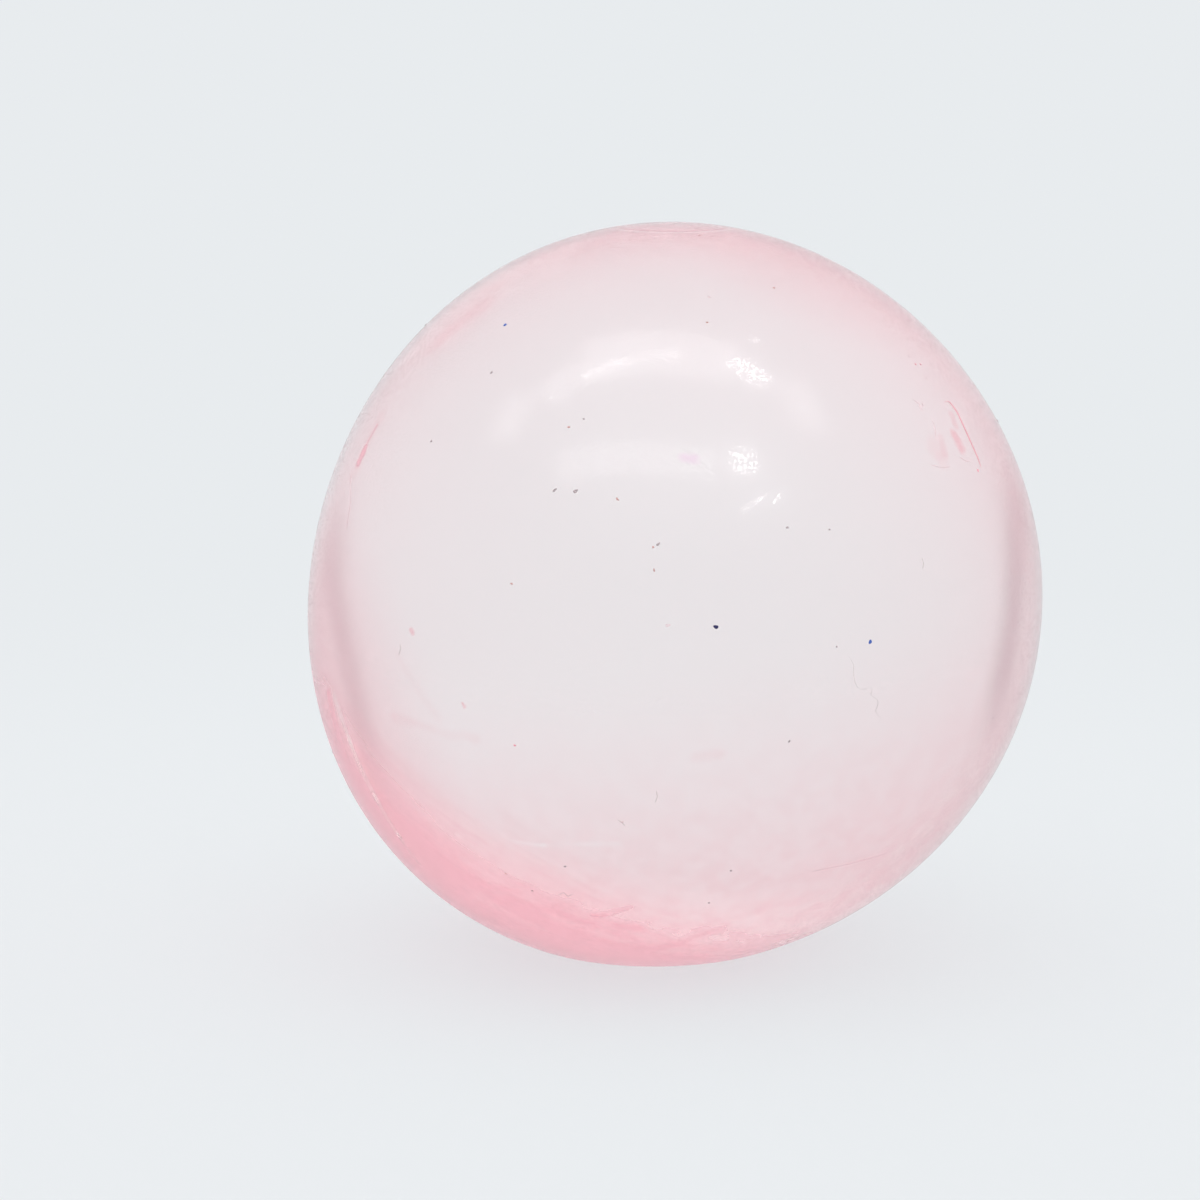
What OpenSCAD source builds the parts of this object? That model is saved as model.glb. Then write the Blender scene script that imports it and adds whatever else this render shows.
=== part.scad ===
// Squishy ball: a clear soft skin filled with gel, closed at the crown by a stopper under a cap of adhesive.
// Millimetres, +Z up. The origin is the middle of the flat patch that the ball settles on.

/* [Ball] */
// Outside diameter of the ball
ball_d = 70; // [50:1:110]
// Thickness of the soft outer skin
skin_wall = 2.5; // [1.5:0.1:5]
// How far the ball flattens under its own weight where it rests
foot_sag = 1.5; // [0.5:0.1:4]

/* [Fill port] */
// Diameter of the hole that the gel is poured through
port_d = 5; // [3:0.1:8]
// Skin left around the stopper's seat by the boss inside the crown
boss_wall = 2; // [1:0.1:5]
// How far the boss reaches below the inner face of the skin
boss_h = 2.5; // [1.5:0.1:6]
// How much wider the boss is at the crown than at its tip, on each side
boss_draft = 1.2; // [0:0.1:3]

/* [Stopper] */
// How far the head reaches past the edge of the port
head_lip = 2.5; // [1:0.1:4]
// Thickness of the head
head_t = 1.2; // [0.6:0.1:2]
// How far the barb reaches past the edge of the port
barb_lip = 1.5; // [0.5:0.1:3]
// Height of the barb below the boss
barb_h = 2.4; // [1:0.1:5]
// Diameter of the barb's blunt tip
barb_tip_d = 3; // [1:0.1:5]

/* [Adhesive cap] */
// Thickness of the cap at its edge
cap_edge_t = 0.5; // [0.2:0.1:1]

/* [Clearances] */
// Room around the stopper and its cap in the skin
plug_clear = 0.05; // [0.02:0.01:0.2]
// Room between the gel and what it lies against
gel_clear = 0.05; // [0.02:0.01:0.2]

/* [Hidden] */
$fn = 256;

ball_r = ball_d / 2;
ball_mid_z = ball_r - foot_sag;
crown_z = ball_mid_z + ball_r;

// The seat is the round recess in the crown that takes the stopper's head and the adhesive cap.
head_d = port_d + 2 * head_lip;
seat_d = head_d + 2 * plug_clear;
seat_rim_z = ball_mid_z + sqrt(pow(ball_r, 2) - pow(seat_d / 2, 2));
cap_low_z = seat_rim_z - cap_edge_t;
head_top_z = cap_low_z - plug_clear;
head_low_z = head_top_z - head_t;
seat_floor_z = head_low_z - plug_clear;

boss_low_z = crown_z - skin_wall - boss_h;
boss_tip_d = seat_d + 2 * boss_wall;
boss_root_d = boss_tip_d + 2 * boss_draft;

shank_d = port_d - 2 * plug_clear;
barb_d = port_d + 2 * barb_lip;
barb_top_z = boss_low_z - plug_clear;
barb_low_z = barb_top_z - barb_h;

// Half of the stopper's outline: the head on its seat, the shank in the port and the barb below the boss.
stopper_outline = [
    [0, head_top_z],
    [head_d / 2, head_top_z],
    [head_d / 2, head_low_z],
    [shank_d / 2, head_low_z],
    [shank_d / 2, barb_top_z],
    [barb_d / 2, barb_top_z],
    [barb_tip_d / 2, barb_low_z],
    [0, barb_low_z]
];

// The resting ball, drawn in from its outside by inset: a sphere cut flat at the foot.
module resting_ball(inset) {
    difference() {
        translate([0, 0, ball_mid_z])
            sphere(r = ball_r - inset);
        translate([-ball_d, -ball_d, inset - 2 * ball_d])
            cube(2 * ball_d);
    }
}

// The tapered boss under the port, grown by room on its sides and its tip. It runs up to the crown.
module boss(room) {
    translate([0, 0, boss_low_z - room])
        cylinder(d1 = boss_tip_d + 2 * room, d2 = boss_root_d + 2 * room, h = crown_z - boss_low_z + room);
}

// The pocket in the gel for the stopper's barb, which reaches up into the boss's own pocket.
module barb_pocket() {
    translate([0, 0, barb_low_z - gel_clear])
        cylinder(d1 = barb_tip_d + 2 * gel_clear, d2 = barb_d + 2 * gel_clear, h = barb_h + gel_clear);
}

module skin() {
    color([0.95, 0.80, 0.84, 0.5])
    difference() {
        union() {
            difference() {
                resting_ball(0);
                resting_ball(skin_wall);
            }
            // The boss ends inside the wall, so that it never breaks the outside of the ball.
            intersection() {
                boss(0);
                resting_ball(skin_wall / 2);
            }
        }
        translate([0, 0, boss_low_z - boss_h])
            cylinder(d = port_d, h = crown_z - boss_low_z + boss_h);
        translate([0, 0, seat_floor_z])
            cylinder(d = seat_d, h = crown_z - seat_floor_z);
    }
}

module gel_core() {
    color([0.93, 0.90, 0.91, 0.6])
    difference() {
        resting_ball(skin_wall + gel_clear);
        boss(gel_clear);
        barb_pocket();
    }
}

module fill_plug() {
    color([0.94, 0.88, 0.89])
    rotate_extrude()
        polygon(stopper_outline);
}

module seal_cap() {
    color([0.96, 0.94, 0.91])
    intersection() {
        translate([0, 0, ball_mid_z])
            sphere(r = ball_r);
        translate([0, 0, cap_low_z])
            cylinder(d = head_d, h = crown_z - cap_low_z);
    }
}

skin();
gel_core();
fill_plug();
seal_cap();
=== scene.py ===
# %% The frame
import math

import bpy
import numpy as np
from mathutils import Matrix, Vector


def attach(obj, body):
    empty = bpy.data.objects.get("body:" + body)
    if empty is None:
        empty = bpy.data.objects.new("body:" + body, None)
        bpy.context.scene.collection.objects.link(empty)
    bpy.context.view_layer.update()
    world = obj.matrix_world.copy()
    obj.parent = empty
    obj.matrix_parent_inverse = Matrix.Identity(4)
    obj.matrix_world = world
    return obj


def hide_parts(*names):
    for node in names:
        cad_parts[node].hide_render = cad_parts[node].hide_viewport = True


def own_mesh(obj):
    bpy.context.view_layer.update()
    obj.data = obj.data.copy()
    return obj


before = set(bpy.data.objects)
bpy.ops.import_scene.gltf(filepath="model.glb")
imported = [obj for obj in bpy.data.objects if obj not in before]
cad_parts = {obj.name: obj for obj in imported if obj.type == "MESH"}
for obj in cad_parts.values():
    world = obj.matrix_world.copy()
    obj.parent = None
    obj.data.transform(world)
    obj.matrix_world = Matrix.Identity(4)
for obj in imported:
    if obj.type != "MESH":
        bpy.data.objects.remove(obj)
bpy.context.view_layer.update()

# %% [markdown]
# # A squishy ball, dressed in Blender
#
# The real ball is a soft clear skin filled with gel. It was once pink all over, and the colour has worn to
# streaks, mostly low on one side. The construction is already fixed: a skin, a gel core, a stopper and an
# adhesive cap. This lesson gives each of them a surface and a finish, and lights them as a photographer
# lights glass. Every length is in metres and every piece stays where the construction has it.

BALL_R = 0.035
FOOT_SAG = 0.0015
SKIN_WALL = 0.0025
GEL_CLEAR = 0.00005
BALL_MID = np.array([0.0, 0.0, BALL_R - FOOT_SAG])
CROWN_Z = BALL_MID[2] + BALL_R

# %% [markdown]
# ## The camera comes first
#
# Lights, marks and highlights are all placed by where they show in the picture, so the camera is settled
# before anything else. The ball's outline in the picture is a circle with a known middle and radius, and
# that fixes the focal length once a distance is chosen. Turning the camera a little puts the ball off the
# middle of the frame, which leaves the lens without any shift.

# %% Camera
IMAGE_PX = 1200
BALL_PX = (671.3, 597.0)
BALL_PX_R = 370.0
CAMERA_DISTANCE = 0.36
CAMERA_ELEVATION = math.radians(10)
SENSOR = 36.0

RIGHT = np.array([1.0, 0.0, 0.0])
UP = np.array([0.0, math.sin(CAMERA_ELEVATION), math.cos(CAMERA_ELEVATION)])
FRONT = np.array([0.0, -math.cos(CAMERA_ELEVATION), math.sin(CAMERA_ELEVATION)])
CAMERA_AT = BALL_MID + CAMERA_DISTANCE * FRONT
FOCAL_PX = BALL_PX_R / math.tan(math.asin(BALL_R / CAMERA_DISTANCE))


def in_scene(name, data):
    """A new object with the given data, linked to the scene."""
    made = bpy.data.objects.new(name, data)
    bpy.context.scene.collection.objects.link(made)
    return made


def make_camera():
    """A camera whose focal length gives the outline its radius, turned so that the ball is off centre."""
    data = bpy.data.cameras.new("camera")
    data.sensor_width = SENSOR
    data.lens = FOCAL_PX * SENSOR / IMAGE_PX
    data.clip_start = 0.01
    camera = in_scene("camera", data)
    across = (BALL_PX[0] - IMAGE_PX / 2) / FOCAL_PX
    above = (IMAGE_PX / 2 - BALL_PX[1]) / FOCAL_PX
    forward = -FRONT - across * RIGHT - above * UP
    camera.location = CAMERA_AT
    camera.rotation_euler = Vector(forward).to_track_quat("-Z", "Y").to_euler()
    bpy.context.scene.camera = camera
    print("focal length", round(data.lens, 1), "mm")


make_camera()

# %% [markdown]
# ## From a pixel to the ball, and through it
#
# A mark, a lamp or a card is placed by the pixel where it shows. Blender can cast rays at a mesh, but the
# ball is so close to a sphere that a formula does it, for whole arrays of pixels at once.

# %% Pixels and the ball
def unit(vectors):
    """Vectors scaled to length 1."""
    return vectors / np.maximum(np.linalg.norm(vectors, axis=-1, keepdims=True), 1e-12)


def dotted(a, b):
    """Dot products of two rows of vectors, kept as a column."""
    return np.sum(a * b, axis=-1, keepdims=True)


def rays_at(x, y):
    """Unit directions of the camera's rays through pixels (x, y)."""
    across = (np.asarray(x, float)[..., None] - BALL_PX[0]) / FOCAL_PX
    above = (BALL_PX[1] - np.asarray(y, float)[..., None]) / FOCAL_PX
    return unit(-FRONT + across * RIGHT + above * UP)


def seen_at(x, y):
    """Outward unit directions of the points of the ball that show at pixels (x, y).

    A ray from the camera meets the sphere where the distance along it solves a quadratic. A pixel just
    outside the outline takes the nearest point of the rim.
    """
    ray = rays_at(x, y)
    half = ray @ (CAMERA_AT - BALL_MID)
    root = np.maximum(0.0, half ** 2 - CAMERA_DISTANCE ** 2 + BALL_R ** 2)
    return unit(CAMERA_AT + (-half - np.sqrt(root))[..., None] * ray - BALL_MID)


def seen_through(x, y, index):
    """Where rays through pixels (x, y) leave the far side of the ball, and the way that they go on.

    The law of refraction bends a ray by the same rule at both faces, with the ratio of the two indices.
    """
    def bent(ray, normal, ratio):
        c = -dotted(ray, normal)
        return ratio * ray + (ratio * c - np.sqrt(np.maximum(0.0, 1 - ratio ** 2 * (1 - c ** 2)))) * normal

    enters = seen_at(x, y)
    inside = unit(bent(rays_at(x, y), enters, 1 / index))
    leaves = enters - 2 * dotted(enters, inside) * inside
    return BALL_MID + BALL_R * leaves, unit(bent(inside, -leaves, index))


PX = BALL_R / BALL_PX_R
print("one pixel on the ball:", round(PX * 1000, 3), "mm")

# %% [markdown]
# ## Surfaces from arrays
#
# Every piece here is round about the vertical axis, or a small blob, so a handful of functions make all of
# them. A profile is carried round the axis as whole arrays, then the soft shape is pressed out of true: a
# real gel ball is never a perfect sphere. It leans in two and three broad lobes, which the outline in the
# picture shows, and it flattens on whatever it lies on. Sculpting could do that too, but a formula gives
# the same ball each time, and the dirt on the skin can follow it.

# %% Soft shapes
LEAN_TWO = (0.0144, math.radians(61.8))
LEAN_THREE = (0.0112, math.radians(107.9))
FOOT_ROLL = 0.0009
SHARP_FROM = math.radians(35)


def leaning(outward):
    """How far the skin stands out at a direction, as a share of the radius.

    With q the direction's place in the picture plane as a complex number, the share is the real part of
    q squared and of q cubed, each turned to its own lobe's angle.
    """
    q = outward @ RIGHT + 1j * (outward @ UP)
    two = np.real(q ** 2 * np.exp(-2j * LEAN_TWO[1]))
    three = np.real(q ** 3 * np.exp(-3j * LEAN_THREE[1]))
    return LEAN_TWO[0] * two + LEAN_THREE[0] * three


def settled(points, inset):
    """The soft shape of points given on the true sphere: leant, then flattened where the ball rests.

    Below the roll the height is the inset, above it the height is kept, and between them a parabola joins
    the two without a crease.
    """
    away = points - BALL_MID
    out = BALL_MID + away * (1 + leaning(unit(away)))[:, None]
    height = out[:, 2] - inset
    roll = (height + FOOT_ROLL) ** 2 / (4 * FOOT_ROLL)
    flat = np.where(height > FOOT_ROLL, height, np.where(height < -FOOT_ROLL, 0.0, roll))
    out[:, 2] = inset + flat
    return out


def new_piece(name, points, *faces):
    """A mesh object at the origin, shaded smooth except at edges sharper than SHARP_FROM.

    Faces come as arrays of point numbers, one array for each count of corners.
    """
    mesh = bpy.data.meshes.new(name)
    mesh.from_pydata(points.tolist(), [], [face for array in faces for face in array.tolist()])
    mesh.shade_smooth()
    mesh.set_sharp_from_angle(angle=SHARP_FROM)
    mesh.validate()
    return in_scene(name, mesh)


def keep_vectors(piece, name, values):
    """Keeps one vector for each point of the mesh, which a material can read at any pose."""
    attribute = piece.data.attributes.new(name, "FLOAT_VECTOR", "POINT")
    attribute.data.foreach_set("vector", values.astype(np.float32).ravel())


def soft_piece(name, points, inset, *faces):
    """A settled piece of the ball that keeps the outward direction of each point at rest."""
    piece = new_piece(name, settled(points, inset), *faces)
    keep_vectors(piece, "outward", unit(points - BALL_MID))
    return piece


print("the lobes stand out by up to", round((LEAN_TWO[0] + LEAN_THREE[0]) * BALL_R * 1000, 2), "mm")

# %% [markdown]
# ## Turning a profile
#
# A Screw modifier can turn a profile round an axis, but its poles then depend on merging by distance. Here
# the rings and the two poles are numbered by a rule, so the mesh is closed from the start.

# %% Turning a profile into a mesh
SAME_POINT = 1e-7


def tube_faces(rings, sides):
    """Faces of a stack of rings between two poles: a fan at each pole, and quads from ring to ring.

    The points are numbered from the first pole, 0, through the rings in order to the other pole.
    """
    j = np.arange(sides)
    after = (j + 1) % sides
    row = 1 + sides * np.arange(rings - 1)[:, None]
    below = row + sides
    last = 1 + sides * (rings - 1)
    start = np.stack([np.zeros_like(j), 1 + after, 1 + j], axis=1)
    quads = np.stack([row + j, row + after, below + after, below + j], axis=2).reshape(-1, 4)
    end = np.stack([last + j, last + after, np.full_like(j, last + sides)], axis=1)
    return start, quads, end


def turned(radius, height, segments):
    """Points and faces of a profile turned round the vertical axis, from a pole on the axis to another one.

    Point (i, j) is radius i at an angle of j turns over the count, at height i.
    """
    angle = np.linspace(0, 2 * math.pi, segments, endpoint=False)
    x = np.outer(radius[1:-1], np.cos(angle))
    y = np.outer(radius[1:-1], np.sin(angle))
    z = np.repeat(height[1:-1, None], segments, axis=1)
    body = np.stack([x, y, z], axis=2).reshape(-1, 3)
    points = np.vstack([[[0, 0, height[0]]], body, [[0, 0, height[-1]]]])
    return points, *tube_faces(len(radius) - 2, segments)


def arc(radius, start, stop, steps):
    """A stretch of a sphere's profile: angles from the foot, 0, to the crown, 180 degrees."""
    angle = np.linspace(start, stop, steps)
    return radius * np.sin(angle), BALL_MID[2] - radius * np.cos(angle)


def straight(start, stop, steps=4):
    """A straight stretch of a profile between two points, with both ends."""
    share = np.linspace(0, 1, steps)
    return start[0] + share * (stop[0] - start[0]), start[1] + share * (stop[1] - start[1])


def joined(*stretches):
    """One profile from several stretches, with an end that two stretches share kept once."""
    radius = np.concatenate([s[0] for s in stretches])
    height = np.concatenate([s[1] for s in stretches])
    step = np.hypot(np.diff(radius), np.diff(height))
    kept = np.concatenate([[True], step > SAME_POINT])
    return radius[kept], height[kept]


# %% [markdown]
# ## The port in numbers
#
# The gel goes in through a port at the crown, which a stopper and a cap of adhesive close. Their sizes are
# those of the construction. What fits into another piece is worked out from that piece and a clearance,
# so that one changed size carries the rest along.

# %% Sizes of the port
PORT_R = 0.0025
PLUG_CLEAR = 0.00005
HEAD_LIP = 0.0025
HEAD_T = 0.0012
CAP_EDGE_T = 0.0005
BOSS_WALL = 0.002
BOSS_DRAFT = 0.0012
BOSS_H = 0.0025
BARB_LIP = 0.0015
BARB_H = 0.0024
BARB_TIP_R = 0.0015

HEAD_R = PORT_R + HEAD_LIP
BARB_R = PORT_R + BARB_LIP
SEAT_R = HEAD_R + PLUG_CLEAR
SEAT_RIM_Z = BALL_MID[2] + math.sqrt(BALL_R ** 2 - SEAT_R ** 2)
CAP_LOW_Z = SEAT_RIM_Z - CAP_EDGE_T
HEAD_TOP_Z = CAP_LOW_Z - PLUG_CLEAR
HEAD_LOW_Z = HEAD_TOP_Z - HEAD_T
SEAT_FLOOR_Z = HEAD_LOW_Z - PLUG_CLEAR
BOSS_LOW_Z = CROWN_Z - SKIN_WALL - BOSS_H
BOSS_TIP_R = SEAT_R + BOSS_WALL
BARB_TOP_Z = BOSS_LOW_Z - PLUG_CLEAR
BARB_LOW_Z = BARB_TOP_Z - BARB_H
print("the port is", round(2000 * PORT_R, 2), "mm wide and its seat", round(2000 * SEAT_R, 2), "mm")

# %% [markdown]
# ## Moulded edges
#
# Rubber from a mould has no sharp corners. A Bevel modifier could round them, but curves in the profiles
# keep the stopper and its port matched.

# %% Moulded profiles
MEET_STEPS = 4000
EDGE_ROUND = 0.00002
MOULD_ROUND = 0.00025
OUTSIDE, INSIDE = 0, 1


def rounded(corners, edge, steps=5, most=0.45):
    """A profile through corners, with every inner corner replaced by a curve that starts edge away from it.

    The curve is a quadratic with the corner as its control point. It takes up no more than the share most
    of a short side.
    """
    def reach(side):
        return unit(side) * np.minimum(edge, most * np.linalg.norm(side, axis=1, keepdims=True))

    p = np.array(corners, float)
    corner = p[1:-1]
    start = corner + reach(p[:-2] - corner)
    stop = corner + reach(p[2:] - corner)
    t = np.linspace(0, 1, steps)[None, :, None]
    curve = (1 - t) ** 2 * start[:, None] + 2 * t * (1 - t) * corner[:, None] + t ** 2 * stop[:, None]
    line = np.vstack([p[:1], curve.reshape(-1, 2), p[-1:]])
    return line[:, 0], line[:, 1]


def from_middle(radius, height):
    """How far points of a profile lie from the middle of the ball."""
    return np.hypot(radius, height - BALL_MID[2])


def boss_meets(radius, room):
    """Where the tapered side of the boss meets a sphere about the ball's middle, as (radius, height).

    Heights are tried on a fine scale, and the one where the side is closest to the sphere is taken.
    """
    height = np.linspace(BOSS_LOW_Z - room, CROWN_Z, MEET_STEPS)
    side = BOSS_TIP_R + room + BOSS_DRAFT * (height - BOSS_LOW_Z + room) / (CROWN_Z - BOSS_LOW_Z + room)
    at = np.argmin(np.abs(from_middle(side, height) - radius))
    return side[at], height[at]


def mark_outside(piece, radius, height, segments):
    """Marks each face of a turned piece as OUTSIDE if it lies on the ball's own sphere, or else as INSIDE."""
    middle = from_middle((radius[1:] + radius[:-1]) / 2, (height[1:] + height[:-1]) / 2)
    side = np.where(middle > BALL_R - EDGE_ROUND, OUTSIDE, INSIDE)
    piece.data.polygons.foreach_set("material_index", np.repeat(side, segments).astype(np.int32))


print("moulded edges are rounded over", MOULD_ROUND * 1000, "mm")

# %% [markdown]
# ## The skin
#
# The skin is one moulded shell: the outside, the seat for the stopper, the port, the boss round it and the
# inner wall are a single closed profile. A sphere with Solidify would give the wall, but not the boss and
# the port. The inner faces lie against gel with the same bend of light, so they get a finish of their own
# later, and a mark on each face says which of the two it is.

# %% Skin
TURNS = 224
OUTSIDE_STEPS = 150
INNER_STEPS = 84


def make_skin():
    """The closed shell: up the outside, down through the seat and the port, and back down the inner wall."""
    rim = math.pi - math.asin(SEAT_R / BALL_R)
    outside = arc(BALL_R, 0, rim, OUTSIDE_STEPS)
    before_rim = (outside[0][-2], outside[1][-2])
    inner_r = BALL_R - SKIN_WALL
    root = boss_meets(inner_r, 0)
    port = [(SEAT_R, SEAT_FLOOR_Z), (PORT_R, SEAT_FLOOR_Z), (PORT_R, BOSS_LOW_Z), (BOSS_TIP_R, BOSS_LOW_Z)]
    seat = joined(
        rounded([before_rim, (SEAT_R, SEAT_RIM_Z), (SEAT_R, SEAT_FLOOR_Z)], EDGE_ROUND),
        rounded(port, MOULD_ROUND),
        straight((BOSS_TIP_R, BOSS_LOW_Z), root),
    )
    inner = arc(inner_r, math.pi - math.asin(root[0] / inner_r), 0, INNER_STEPS)
    radius, height = joined((outside[0][:-1], outside[1][:-1]), seat, inner)
    radius[0] = radius[-1] = 0.0
    points, *faces = turned(radius, height, TURNS)
    inner_point = np.linalg.norm(points - BALL_MID, axis=1) < BALL_R - SKIN_WALL / 2
    inset = np.where(inner_point, SKIN_WALL, 0.0)
    skin = soft_piece("ball_skin", points, inset, *faces)
    mark_outside(skin, radius, height, TURNS)
    print("skin:", len(skin.data.polygons), "faces")
    return skin


skin = make_skin()

# %% [markdown]
# ## The gel core
#
# The gel fills the skin and wets it, with a pocket for the boss and the stopper's barb. A Boolean could
# cut the pocket, but as part of the profile it is clean and closed. The gel's own surface can't be seen on
# the real ball, since skin and gel bend light alike, but the piece is there and whole.

# %% Gel core
GEL_TURNS = 160
GEL_STEPS = 110


def make_gel():
    """The sphere inside the skin, with the pocket round the boss and the barb turned into its top."""
    inset = SKIN_WALL + GEL_CLEAR
    radius_in = BALL_R - inset
    root = boss_meets(radius_in, GEL_CLEAR)
    boss_tip = (BOSS_TIP_R + GEL_CLEAR, BOSS_LOW_Z - GEL_CLEAR)
    barb_top = (BARB_R + GEL_CLEAR, BOSS_LOW_Z - GEL_CLEAR)
    barb_tip = (BARB_TIP_R + GEL_CLEAR, BARB_LOW_Z - GEL_CLEAR)
    radius, height = joined(
        arc(radius_in, 0, math.pi - math.asin(root[0] / radius_in), GEL_STEPS),
        straight(root, boss_tip),
        straight(boss_tip, barb_top),
        straight(barb_top, barb_tip),
        straight(barb_tip, (0.0, BARB_LOW_Z - GEL_CLEAR), 3),
    )
    radius[0] = radius[-1] = 0.0
    points, *faces = turned(radius, height, GEL_TURNS)
    gel = soft_piece("gel_filling", points, inset, *faces)
    print("gel:", len(gel.data.polygons), "faces")
    return gel


gel = make_gel()

# %% [markdown]
# ## The stopper and its cap of adhesive
#
# The port is closed by a small mushroom of the same rubber, pushed through from outside, and sealed by a
# drop of clear adhesive that fills the seat and is smoothed flush with the ball. Both are turned profiles
# again: the stopper with the port's own rounded edges, and the cap with the ball's own curve on top.

# %% Stopper and cap
CROWN_TURNS = 96
CAP_GAP = 0.00001
CAP_R = SEAT_R - CAP_GAP
CAP_LOW_STEPS = 12
CAP_TOP_STEPS = 16


def make_stopper():
    """Head, shank and barb, from the tip at the bottom to the middle of the head."""
    shank_r = PORT_R - PLUG_CLEAR
    barb = [(0.0, BARB_LOW_Z), (BARB_TIP_R, BARB_LOW_Z), (BARB_R, BARB_TOP_Z), (shank_r, BARB_TOP_Z)]
    head = [(shank_r, HEAD_LOW_Z), (HEAD_R, HEAD_LOW_Z), (HEAD_R, HEAD_TOP_Z), (0.0, HEAD_TOP_Z)]
    radius, height = rounded(barb + head, MOULD_ROUND)
    points, *faces = turned(radius, height, CROWN_TURNS)
    return soft_piece("stopper", points, 0.0, *faces)


def make_cap():
    """A lens of adhesive that fills the seat: flat below, and on the ball's own sphere outside."""
    low = straight((0.0, CAP_LOW_Z), (CAP_R, CAP_LOW_Z), CAP_LOW_STEPS)
    rim_z = BALL_MID[2] + math.sqrt(BALL_R ** 2 - CAP_R ** 2)
    top = arc(BALL_R, math.pi - math.asin(CAP_R / BALL_R), math.pi, CAP_TOP_STEPS)
    side = rounded([(CAP_R, CAP_LOW_Z), (CAP_R, rim_z), (top[0][1], top[1][1])], EDGE_ROUND)
    radius, height = joined(low, side, (top[0][1:], top[1][1:]))
    radius[-1] = 0.0
    points, *faces = turned(radius, height, CROWN_TURNS)
    cap = soft_piece("adhesive_cap", points, 0.0, *faces)
    mark_outside(cap, radius, height, CROWN_TURNS)
    return cap


stopper = make_stopper()
cap = make_cap()
print("stopper and cap:", len(stopper.data.polygons), len(cap.data.polygons), "faces")

# %% [markdown]
# ## Specks
#
# A tacky skin collects dirt. Each speck is a small flattened blob that sits in the skin, placed by the pixel
# where it shows. A few more of the same kinds lie at random on the sides that the picture doesn't show.
# Dots in the skin's material would do from afar, but small meshes stay sharp from close by.

# %% Blobs
SPECK_T = 0.00006
BLOB_RINGS, BLOB_TURNS = 7, 10
WAVE_TWO, WAVE_THREE = 0.16, 0.12
CLEAN_BACK = math.cos(math.radians(19))
BEHIND_RIM = 0.1
CLEAR_OF_POLES = 0.8
TRIES, THIN = 12, (0.6, 1.0)
RANDOM = np.random.default_rng(7)


def blobs(outward, length, width, turn):
    """Flattened lumps on the ball, SPECK_T high: points and faces of them all.

    A unit sphere is stretched along two surface directions and outward, after its rim is made uneven by
    two waves round it. Sizes are half sizes in metres, with one row for each lump.
    """
    angle = np.linspace(0, math.pi, BLOB_RINGS)
    ball, *faces = turned(np.sin(angle), -np.cos(angle), BLOB_TURNS)
    around = np.arctan2(ball[:, 1], ball[:, 0])
    start = RANDOM.uniform(0, 2 * math.pi, (2, len(outward), 1))
    uneven = 1 + WAVE_TWO * np.cos(2 * around + start[0]) + WAVE_THREE * np.cos(3 * around + start[1])
    level = unit(RIGHT - dotted(RIGHT, outward) * outward + 1e-6 * UP)
    rising = np.cross(outward, level)
    c, s = np.cos(turn)[:, None], np.sin(turn)[:, None]
    along, aside = c * level + s * rising, c * rising - s * level
    x = (uneven * ball[:, 0] * length[:, None])[..., None] * along[:, None]
    y = (uneven * ball[:, 1] * width[:, None])[..., None] * aside[:, None]
    z = (ball[:, 2] * SPECK_T)[:, None] * outward[:, None]
    points = BALL_MID + BALL_R * outward[:, None] + x + y + z
    step = np.arange(len(outward))[:, None, None] * len(ball)
    return points.reshape(-1, 3), [(f[None] + step).reshape(-1, f.shape[1]) for f in faces]


def specks(rows):
    """Lumps from rows of (x, y, length, width, turn in degrees), all in pixels of the picture."""
    x, y, length, width, turn = np.array(rows, float).T
    return blobs(seen_at(x, y), 0.5 * PX * length, 0.5 * PX * width, np.radians(turn))


def scattered(count, small, large):
    """Lumps at random on the sides that the picture doesn't show, clear of the foot and the stopper.

    The ball is a strong lens: all of its back that shows through it in the picture is a small patch about
    the middle. That patch stays clean.
    """
    outward = unit(RANDOM.normal(size=(count * TRIES, 3)))
    behind = outward @ FRONT
    kept = (behind < BEHIND_RIM) & (behind > -CLEAN_BACK) & (np.abs(outward[:, 2]) < CLEAR_OF_POLES)
    outward = outward[kept][:count]
    size = RANDOM.uniform(small, large, len(outward)) * 0.5 * PX
    thin = size * RANDOM.uniform(*THIN, len(outward))
    return blobs(outward, size, thin, RANDOM.uniform(0, math.pi, len(size)))


# %% [markdown]
# ## Fibres and scraps of colour
#
# A fibre, or a scrap of the old colour, is a thin flat thread laid along the surface. A curve with a bevel
# could be shrunk onto the ball, but a tube worked out on the sphere lies on it at every point.

# %% Threads
FIBRE_T = 0.00004
SCRAP_T = 0.00005
EACH_SIDE, STANDS_OUT = 3, 0.7


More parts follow.
